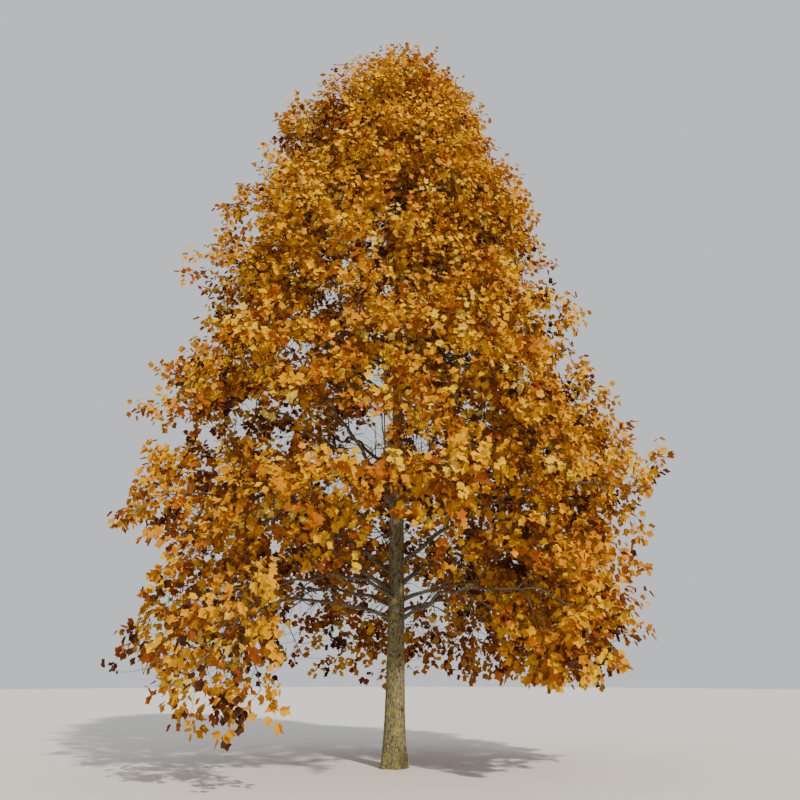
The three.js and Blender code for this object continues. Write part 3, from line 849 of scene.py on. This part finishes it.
def across_and_above(way):
    """Two directions square to a way. Upright itself would fail for a twig that points straight up."""
    across = unit(np.cross(way, OFF_UPRIGHT))
    return across, np.cross(across, way)


def spread_from(way, turn, angle):
    """Directions that lean off a way by an angle, turned about it."""
    across, above = across_and_above(way)
    lean = across * np.cos(turn)[..., None] + above * np.sin(turn)[..., None]
    return way * np.cos(angle)[..., None] + lean * np.sin(angle)[..., None]


def golden_turns(count, copies):
    """Turns that go on by the golden angle, in one row for each copy, with a start of its own."""
    return np.arange(count) * GOLDEN_ANGLE + chance.random((copies, 1)) * 2 * np.pi


def bowed(start, end, bow, share):
    """Points at shares of the way along twigs that bow out to one side between their ends."""
    return mix(start, end, share) + 4 * share * (1 - share) * bow


def draw_bows(starts, ends):
    length = np.linalg.norm(ends - starts, axis=1, keepdims=True)
    return TWIG_BOW * length * chance.normal(0, 1, starts.shape)


def how_many(groups):
    """The number of twigs or shoots in groups of arrays, which have a row for each."""
    return sum(len(group[0]) for group in groups)


print("the bow of a twig is about", TWIG_BOW, "of its length")

# %% Twigs round a parent's outer part
SHORTER_TWIGS = (1, 0.85, 0.7, 0.55, 0.4)
TWIG_SHORT_OF_EDGE = 0.25
TWIGS_STAND_OUT = Values(most=0.5, rarely=5)
BUNCH_SIZE = np.array([1.0, 1.05, 0.95])
BUNCH_BACK = 0.35
BUNCH_TWIGS = 14
BUNCH_POLAR = (12, 140)
BUNCH_REACH = (0.6, 1.0)
BUNCH_PLACES = mix(1.0, 0.4, (np.arange(BUNCH_TWIGS) + 0.5) / BUNCH_TWIGS)
LIMB_BUNCH_FROM = 0.45
ON_LIMB = -1


def stand_out(how, count):
    """How far beyond the crown's edge each may stand. Most keep to the edge and a few go far."""
    return how.most * chance.random(count) ** how.rarely


def grow_twigs(starts, targets, limb, *more):
    """The longest twigs towards their targets that end in a free place: starts, ends, bows, more."""
    ends = np.full_like(targets, np.nan)
    waiting = np.ones(len(targets), bool)
    beyond = stand_out(TWIGS_STAND_OUT, len(targets))
    for share in SHORTER_TWIGS:
        tried = mix(starts, targets, share)
        good = waiting & free_place(tried, limb, beyond - TWIG_SHORT_OF_EDGE)
        ends[good] = tried[good]
        waiting &= ~good
    starts, ends = starts[~waiting], ends[~waiting]
    return [starts, ends, draw_bows(starts, ends), *(part[~waiting] for part in more)]


def bunch_targets(start, end):
    """What the fine twigs round the outer part of their parent grow towards."""
    way = unit(end - start)
    ways = np.stack([way, *across_and_above(way)])
    reach = mix(*BUNCH_REACH, chance.random(BUNCH_TWIGS))
    return fan(end - way * BUNCH_BACK, ways, BUNCH_SIZE, *BUNCH_POLAR, reach, chance.random() * 2 * np.pi)


def grow_fine_twigs(limb, thick):
    """The fine twigs of a limb and its main twigs, with each one's parent and its place on it."""
    inner, tip = limb_point(limb, [LIMB_BUNCH_FROM, 1.0])
    bunches = [(limb_point(limb, mix(LIMB_BUNCH_FROM, 1, BUNCH_PLACES)), bunch_targets(inner, tip))]
    for start, end, bow in zip(*thick):
        bunches.append((bowed(start, end, bow, BUNCH_PLACES[:, None]), bunch_targets(start, end)))
    grown = [grow_twigs(*bunch, limb, np.full(BUNCH_TWIGS, parent), BUNCH_PLACES)
             for parent, bunch in enumerate(bunches, ON_LIMB)]
    return [np.concatenate(part) for part in zip(*grown)]


main_twigs = []
fine_twigs = []
for index, limb in enumerate(limbs):
    main_twigs.append(grow_twigs(*main_fan(index, limb), limb))
    fine_twigs.append(grow_fine_twigs(limb, main_twigs[-1]))
print(how_many(fine_twigs), "fine twigs before they are cut back")

# %% Thin twigs in the shade
INNER_TWIGS = 7
INNER_PLACES = np.linspace(0.13, 0.52, INNER_TWIGS)
SHORT_STEP = 0.05
INNER_SPREAD = Values(usual=48, scatter=10)
INNER_LENGTH = (0.45, 1.1)
FINER_TWIGS = 4
FINER_PLACES = np.linspace(0.35, 1.0, FINER_TWIGS)


def side_twigs(root, way, length):
    """Twigs that leave points on their parent at an angle to its way: starts, ends and bows."""
    turn = golden_turns(len(root), 1)[0]
    angle = np.radians(chance.normal(INNER_SPREAD.usual, INNER_SPREAD.scatter, len(root)))
    tip = root + spread_from(way, turn, angle) * length[:, None]
    return root, tip, draw_bows(root, tip)


def inner_twigs(limb):
    """Thin twigs along the inner half of a bough, and finer ones on them."""
    root = limb_point(limb, INNER_PLACES)
    way = unit(limb_point(limb, INNER_PLACES + SHORT_STEP) - root)
    thick = side_twigs(root, way, mix(*INNER_LENGTH, chance.random(INNER_TWIGS)))
    root = np.concatenate([bowed(*thick, share) for share in FINER_PLACES])
    way = np.tile(unit(thick[1] - thick[0]), (FINER_TWIGS, 1))
    return thick, side_twigs(root, way, mix(*INNER_LENGTH, chance.random(len(root))) / 2)


inner_main_twigs, inner_fine_twigs = zip(*[inner_twigs(limb) for limb in limbs if limb.bough])
print(how_many(inner_main_twigs), "thin twigs in the shade")

# %% [markdown]
# ## Shoots and leaves
#
# This year's shoots stand on the fine twigs, and leaves stand on the shoots, one after another round
# them, which makes a spray of each shoot. A tulip tree's leaf hangs from a stalk more than half as
# long as itself and turns its face to the light. Near the top the leaves are smaller and turn more
# to the sun. All shoots are worked out at once as arrays, because a loop in Python over every leaf
# would take minutes.
#
# By October the tree has dropped some of its leaves, most of them low on the left. What is left
# hangs in clumps with air between, and higher up it is even. A twig dies back to its last shoot.

# %% Shoots on a twig and leaves on a shoot
SHOOTS = 9
SHOOT_PLACES = np.linspace(0.3, 1.0, SHOOTS)
SHOOT_SPREAD = Values(side=52, tip=8, late=4, scatter=9)
SHOOT_LENGTH = (0.2, 0.38)
SHOOT_RISE = Values(low=-0.55, high=0.3, over=6.0)
LEAVES = 6
LEAF_PLACES = np.linspace(0.2, 1.0, LEAVES)
LEAF_SPREAD = Values(side=58, tip=20, late=3, scatter=10)
LEAF_LENGTH = Values(low=0.13, top=0.088, spread=0.25)
STALK_SHARE = 0.6
LEAF_HANG = 0.55
LEAF_WILDNESS = Values(low=0.72, top=0.5)
LEVEL = np.array([1.0, 1.0, 0.0])
FACE_OUT = 0.5
FACE_UP = 0.5
FACE_SUN = Values(low=0.15, top=1.1)


def lean_angle(spread, share, shape):
    """Angles off the parent's way. They turn forward late, near the parent's tip."""
    usual = mix(spread.side, spread.tip, share ** spread.late)
    return np.radians(usual + chance.normal(0, spread.scatter, shape))


def grow_shoots(starts, ends, bows):
    root = bowed(starts[:, None], ends[:, None], bows[:, None], SHOOT_PLACES[:, None])
    way = np.broadcast_to(unit(ends - starts)[:, None], root.shape)
    turn = golden_turns(SHOOTS, len(starts))
    angle = lean_angle(SHOOT_SPREAD, SHOOT_PLACES, turn.shape)
    rise = mix(SHOOT_RISE.low, SHOOT_RISE.high, np.clip(root[..., 2:] / SHOOT_RISE.over, 0, 1))
    direction = unit(spread_from(way, turn, angle) + rise * UP)
    tip = root + direction * mix(*SHOOT_LENGTH, chance.random(turn.shape))[..., None]
    return root.reshape(-1, 3), tip.reshape(-1, 3)


def grow_leaves(root, tip):
    """The leaves on shoots: foot and base of the stalk, and the blade's three directions and length."""
    foot = mix(root[:, None], tip[:, None], LEAF_PLACES[:, None])
    way = np.broadcast_to(unit(tip - root)[:, None], foot.shape)
    turn = golden_turns(LEAVES, len(root))
    stalk = spread_from(way, turn, lean_angle(LEAF_SPREAD, LEAF_PLACES, turn.shape))
    high = foot[..., 2:] / TREE_HEIGHT
    usual = mix(LEAF_LENGTH.low, LEAF_LENGTH.top, high)
    length = usual * (1 + LEAF_LENGTH.spread * chance.uniform(-1, 1, turn.shape))[..., None]
    base = foot + stalk * length * STALK_SHARE
    wild = mix(LEAF_WILDNESS.low, LEAF_WILDNESS.top, high)
    along = unit(stalk - LEAF_HANG * UP + wild * chance.normal(0, 1, foot.shape))
    out = unit(base * LEVEL)
    to_light = mix(FACE_SUN.low, FACE_SUN.top, high) * to_sun
    face = FACE_OUT * out + FACE_UP * UP + to_light + wild * chance.normal(0, 1, foot.shape)
    across = unit(np.cross(along, face))
    face = np.cross(across, along)
    parts = dict(foot=foot, base=base, along=along, across=across, face=face, length=length)
    return {name: part.reshape(-1, part.shape[-1]) for name, part in parts.items()}


print("up to", SHOOTS, "shoots on a twig and", LEAVES, "leaves on a shoot")

# %% How full the crown still is
THIN_SIDE = 205
THIN_SPREAD = 75
FULL_SIDE = Values(least=0.5, full_above=3.2)
BARE_SIDE = Values(least=0.14, full_above=5.4)
HANGING = Values(heading=223, spread=11, below=1.45, full=0.8)
THIN_BELOW = 1.0
THINNING = 1.5
CLUMP_SIZE = 0.55
CLUMPS = (-0.3, 0.04)
EVEN_ABOVE = 8.0
EVEN_OVER = 4.0


def fullness(points):
    """The share of shoots that still have their leaves: less in the skirt, and between clumps."""
    heading = heading_of(points)
    thin_side = bump(turn_between(heading, THIN_SIDE), THIN_SPREAD)
    least = mix(FULL_SIDE.least, BARE_SIDE.least, thin_side)
    full_above = mix(FULL_SIDE.full_above, BARE_SIDE.full_above, thin_side)
    up = np.clip((points[:, 2] - THIN_BELOW) / (full_above - THIN_BELOW), 0, 1)
    by_height = mix(least, 1, up ** THINNING)
    clump = (slow_noise(points, CLUMP_SIZE) - CLUMPS[0]) / (CLUMPS[1] - CLUMPS[0])
    even = np.clip((points[:, 2] - EVEN_ABOVE) / EVEN_OVER, 0, 1)
    hanging = HANGING.full * bump(turn_between(heading, HANGING.heading), HANGING.spread)
    hanging = hanging * (points[:, 2] < HANGING.below)
    return np.maximum(by_height * np.clip(np.clip(clump, 0, 1) + even, 0, 1), hanging)


print("fullness round the masses:", np.mean([fullness(limb.middle[None]) for limb in limbs]).round(2))

# %% Grow the shoots and the leaves
SHOOTS_STAND_OUT = Values(most=0.4, rarely=3)
INNER_FULLNESS = 0.3

shoots = []
leaves = []
cut_main_twigs = []
cut_fine_twigs = []


def dress(root, tip, kept):
    """Keeps the shoots that have a place and grows their leaves."""
    root, tip = root[kept], tip[kept]
    grown = grow_leaves(root, tip)
    grown["spray"] = np.repeat(np.arange(len(root)), LEAVES)
    blade_tip = grown["base"] + grown["along"] * grown["length"]
    kept = in_box(blade_tip) & off_the_trunk(grown["base"]) & off_the_trunk(blade_tip)
    kept &= blade_tip[:, 2] > LOWEST_LEAF - DROOP.drop
    shoots.append((root, tip))
    leaves.append({name: part[kept] for name, part in grown.items()})


def cut_back(twigs, last):
    """Twigs with the share of their way at which they now end. Those that bear nothing are gone."""
    return [part[last > 0] for part in (*twigs, last)]


for limb, thick, (starts, ends, bows, parent, place) in zip(limbs, main_twigs, fine_twigs):
    root, tip = grow_shoots(starts, ends, bows)
    beyond = stand_out(SHOOTS_STAND_OUT, len(tip))
    kept = free_place(tip, limb, beyond) & (chance.random(len(tip)) < fullness(tip))
    dress(root, tip, kept)
    last_shoot = (kept.reshape(-1, SHOOTS) * SHOOT_PLACES).max(axis=1)
    cut_fine_twigs.append(cut_back([starts, ends, bows], last_shoot))
    bears = (parent != ON_LIMB) & (last_shoot > 0)
    last_twig = np.zeros(len(thick[0]))
    np.maximum.at(last_twig, parent[bears], place[bears])
    cut_main_twigs.append(cut_back(thick, last_twig))
for thick, twigs in zip(inner_main_twigs, inner_fine_twigs):
    root, tip = grow_shoots(*twigs)
    cut_main_twigs.append([*thick, np.ones(len(thick[0]))])
    cut_fine_twigs.append([*twigs, np.ones(len(twigs[0]))])
    place = in_box(tip) & in_crown(tip, 0) & off_the_trunk(tip) & ~in_opening(tip)
    dress(root, tip, place & (chance.random(len(tip)) < INNER_FULLNESS * fullness(tip)))
print(how_many(shoots), "shoots,", sum(len(grown["base"]) for grown in leaves), "leaves")
print(how_many(cut_main_twigs), "main twigs,", how_many(cut_fine_twigs), "fine twigs")

# %% [markdown]
# ## Autumn colours
#
# The crown's autumn tints run from lemon and gold through orange and russet to brown. All leaves of
# a shoot turn together, so a colour is drawn once for each shoot, with odds that depend on how much
# light from this scene's sun falls on its place. The tints also paint that light. Places far out,
# high up and facing the sun mostly get lemon and gold, as painted sunlight. Places deep in the
# crown, low down and turned away from the sun, most of all low on the left, mostly get orange,
# russet and brown, as painted shade. A real autumn leaf is a thin, faintly waxy sheet. Here it is
# opaque, with a plain warm colour, a matt surface and little shine, and fine noise in its relief
# stands for the veins.

# %% Leaf colours and their odds
# sun and shade are each tint's odds in lit and in shaded places: lemon and gold dealt to lit places are
# painted sunlight, orange, russet and brown dealt to shaded places are painted shade
LEAF_COLOURS = [
    Values(name="lemon", colour="#d8a800", slot="golden_leaves", sun=0.24, shade=0.04),
    Values(name="golden", colour="#cc9000", slot="golden_leaves", sun=0.41, shade=0.19),
    Values(name="straw", colour="#cdae46", slot="straw_leaves", sun=0.06, shade=0.02),
    Values(name="orange", colour="#ba7a00", slot="orange_leaves", sun=0.22, shade=0.24),
    Values(name="copper", colour="#a25800", slot="orange_leaves", sun=0.05, shade=0.25),
    Values(name="russet", colour="#7a3a00", slot="russet_leaves", sun=0.02, shade=0.15),
    Values(name="brown", colour="#442408", slot="brown_leaves", sun=0.0, shade=0.11),
]
VEIN_SPACING = 7 * MM
LEAF_ROUGHNESS = 0.62
LEAF_SHINE = 0.15
# Weights for the painted light of the leaf colours: how far out in the crown a place is, how high, and how
# much it faces this scene's sun
PAINTED_LIGHT = Values(outside=0.25, high=0.75, sunny_side=0.4, less=0.15)
LIGHT_FALLS_OFF = 3
SMALLEST_RADIUS = 0.3
LOOKS_UP = 0.4


def leaf_material(name, colour):
    material, surface = new_material(name + "_tulip_leaf")
    place = add_node(material, "TexCoord", "Object", {})
    veins = add_node(material, "TexNoise", "Fac", {
        "Vector": place, "Scale": 1 / VEIN_SPACING, "Detail": 1.0})
    bumps = add_node(material, "Bump", "Normal", {"Height": veins, "Strength": 0.25, "Distance": MM})
    set_inputs(surface, {"Base Color": linear(colour), "Normal": bumps, "Roughness": LEAF_ROUGHNESS,
                         "Specular IOR Level": LEAF_SHINE})
    return material


def painted_sunlight(points):
    """How much light from this scene's sun falls on a place in the crown, from 0 to 1, for the painted
    sunlight and shade of the leaf colours.
    """
    radius = np.maximum(crown_radius(points[:, 2], heading_of(points)), SMALLEST_RADIUS)
    outside = (np.linalg.norm(points * LEVEL, axis=1) / radius) ** LIGHT_FALLS_OFF
    sunny_side = unit(unit(points * LEVEL) + UP * LOOKS_UP) @ to_sun
    high = points[:, 2] / TREE_HEIGHT
    light = PAINTED_LIGHT.outside * outside + PAINTED_LIGHT.high * high + PAINTED_LIGHT.sunny_side * sunny_side
    return np.clip(light - PAINTED_LIGHT.less, 0, 1)


def deal_colours(points):
    """A colour's number for each shoot tip, drawn by the odds of the painted light and shade at its place.
    """
    sun = np.array([tint.sun for tint in LEAF_COLOURS])
    shade = np.array([tint.shade for tint in LEAF_COLOURS])
    odds = mix(shade, sun, painted_sunlight(points)[:, None])
    steps = np.cumsum(odds / odds.sum(axis=1, keepdims=True), axis=1)
    return (chance.random((len(points), 1)) > steps).sum(axis=1).clip(0, len(LEAF_COLOURS) - 1)


for (root, tip), grown in zip(shoots, leaves):
    grown["colour"] = deal_colours(tip)[grown["spray"]]
counts = np.bincount(np.concatenate([grown["colour"] for grown in leaves]))
print("leaves of each colour:", dict(zip([tint.name for tint in LEAF_COLOURS], counts.tolist())))

# %% [markdown]
# ## Building the leaf meshes
#
# A leaf is a few faces in its own outline: a notch at the tip, two corners above, a bay, two wide
# corners below and a blunt base, folded along the midrib. A thin triangle is its stalk. Thousands
# of leaves share one outline, so it is written once and laid on every leaf as arrays, then joined
# into pieces of one colour each, with a limit on the triangles of a piece.

# %% Leaf outline and pieces
HALF_OUTLINE = [(0.25, -0.01, 0.10), (0.50, 0.28, 0.20), (0.35, 0.55, 0.12), (0.39, 0.95, 0.02)]
OUTLINE_SIDES = [(side * x, y, z) for x, y, z in HALF_OUTLINE for side in (1, -1)]
LEAF_OUTLINE = np.array([(0, 0, 0), *OUTLINE_SIDES, (0, 0.82, -0.10)])
LEAF_FACES = np.array([
    (0, 1, 3), (0, 3, 5), (0, 5, 9), (5, 7, 9),
    (0, 4, 2), (0, 6, 4), (0, 9, 6), (6, 9, 8),
    (0, 10, 11),
])
STALK_WIDTH = 3 * MM
MOST_TRIANGLES = 190_000


def leaf_points(grown):
    """Each leaf's points: its outline laid on its own directions, then the two at its stalk's foot."""
    axes = np.stack([grown["across"], grown["along"], grown["face"]], axis=1) * grown["length"][:, None]
    blade = grown["base"][:, None] + LEAF_OUTLINE @ axes
    edge = grown["across"] * STALK_WIDTH / 2
    feet = np.stack([grown["foot"] - edge, grown["foot"] + edge], axis=1)
    return np.concatenate([blade, feet], axis=1)


def joined_piece(name, points, faces, material, slot, *nodes):
    """One piece from many copies: points of each copy, and the faces that all copies share."""
    copies, each = points.shape[:2]
    triangles = (np.arange(copies)[:, None, None] * each + faces).reshape(-1, 3)
    mesh = bpy.data.meshes.new(name)
    mesh.from_pydata(points.reshape(-1, 3), [], triangles)
    add_piece(name, mesh, material, slot, *nodes)
    print(name, len(triangles), "triangles")


slot_nodes = {}
for row in frame["record"]["subparts"]:
    if row["node"].startswith("leaves_"):
        slot_nodes.setdefault(row["material_slot"], []).append(row["node"])

all_leaves = {name: np.concatenate([grown[name] for grown in leaves]) for name in leaves[0]}
for number, tint in enumerate(LEAF_COLOURS):
    of_colour = {name: part[all_leaves["colour"] == number] for name, part in all_leaves.items()}
    points = leaf_points(of_colour)
    material = leaf_material(tint.name, tint.colour)
    batches = math.ceil(len(points) * len(LEAF_FACES) / MOST_TRIANGLES)
    for batch, part in enumerate(np.array_split(points, batches)):
        nodes = slot_nodes.pop(tint.slot, [])
        joined_piece(f"{tint.name}_leaves_{batch + 1}", part, LEAF_FACES, material, tint.slot, *nodes)

# %% [markdown]
# ## Building the twig meshes
#
# Twigs and shoots are slim cones with a few sides. They are far too many for one operator each, so
# they are joined meshes from arrays too. Twigs have rings along their bowed lines. A shoot is short
# and straight and has no caps, since both its ends are hidden.

# %% Twig and shoot pieces
MAIN_TUBE = Values(radii=(0.012, 0.006), rings=5, sides=6)
FINE_TUBE = Values(radii=(0.006, 0.003), rings=4, sides=3)
SHOOT_RADII = (0.0022, 0.0011)
SHOOT_SIDES = 3


def rings_round(line, radii, sides):
    """Points of rings round many lines at once. line has one row of points for each twig."""
    way = unit(np.gradient(line, axis=1))
    across, above = across_and_above(way)
    turn = np.arange(sides) * 2 * np.pi / sides
    lean = across[:, :, None] * np.cos(turn)[:, None] + above[:, :, None] * np.sin(turn)[:, None]
    return (line[:, :, None] + lean * radii[None, :, None, None]).reshape(len(line), -1, 3)


def ring_faces(rings, sides):
    """The faces of a closed tube of rings with caps."""
    faces = []
    for ring in range(rings - 1):
        for side in range(sides):
            here = ring * sides + side
            beside = ring * sides + (side + 1) % sides
            faces += [(here, beside, beside + sides), (here, beside + sides, here + sides)]
    last = (rings - 1) * sides
    for side in range(1, sides - 1):
        faces += [(0, side + 1, side), (last, last + side, last + side + 1)]
    return np.array(faces)


def twig_piece(name, twigs, form):
    """One piece of many twigs, along their bowed lines as far as they were cut."""
    starts, ends, bows, last = (np.concatenate(part) for part in zip(*twigs))
    share = last[:, None, None] * np.linspace(0, 1, form.rings)[:, None]
    lines = bowed(starts[:, None], ends[:, None], bows[:, None], share)
    points = rings_round(lines, np.linspace(*form.radii, form.rings), form.sides)
    joined_piece(name, points, ring_faces(form.rings, form.sides), young_bark, "bark")


twig_piece("main_twigs", cut_main_twigs, MAIN_TUBE)
twig_piece("fine_twigs", cut_fine_twigs, FINE_TUBE)
shoot_lines = np.concatenate([np.stack(ends, axis=1) for ends in shoots])
shoot_walls = ring_faces(2, SHOOT_SIDES)[:2 * SHOOT_SIDES]
joined_piece("shoots", rings_round(shoot_lines, np.array(SHOOT_RADII), SHOOT_SIDES),
             shoot_walls, young_bark, "bark")

# %% [markdown]
# ## Floor and light
#
# A plain pale floor and a pale surround keep every colour readable. The sun shines from behind the
# camera and its right, as in the photograph, so the front is bright and the shadow falls back to
# the left. The surround fills the shade softly. Many of the leaves face the sun, so a stronger sun
# would bleach their gold.

# %% Stage
FLOOR_RADIUS = 60
FLOOR_SIDES = 96
FLOOR_COLOUR = "#dcdad5"
FLOOR_ROUGHNESS = 0.9
SUN_STRENGTH = 4.3
SUN_COLOUR = "#fff4e2"
SUN_SOFTNESS = math.radians(2)
SURROUND_COLOUR = "#e8ebee"
SURROUND_STRENGTH = 0.85

shape = bmesh.new()
bmesh.ops.create_circle(shape, cap_ends=True, segments=FLOOR_SIDES, radius=FLOOR_RADIUS)
floor_mesh = bpy.data.meshes.new("floor")
shape.to_mesh(floor_mesh)
shape.free()
floor_paint, floor_surface = new_material("pale_floor")
set_inputs(floor_surface, {"Base Color": linear(FLOOR_COLOUR), "Roughness": FLOOR_ROUGHNESS})
floor_mesh.materials.append(floor_paint)
floor = add_object("floor", floor_mesh)

sun_lamp.data.energy = SUN_STRENGTH
sun_lamp.data.angle = SUN_SOFTNESS
sun_lamp.data.color = linear(SUN_COLOUR)[:3]

world = bpy.data.worlds.new("pale_surround")
world.use_nodes = True
background = world.node_tree.nodes["Background"]
set_inputs(background, {"Color": linear(SURROUND_COLOUR), "Strength": SURROUND_STRENGTH})
bpy.context.scene.world = world
print("floor, light and surround set")
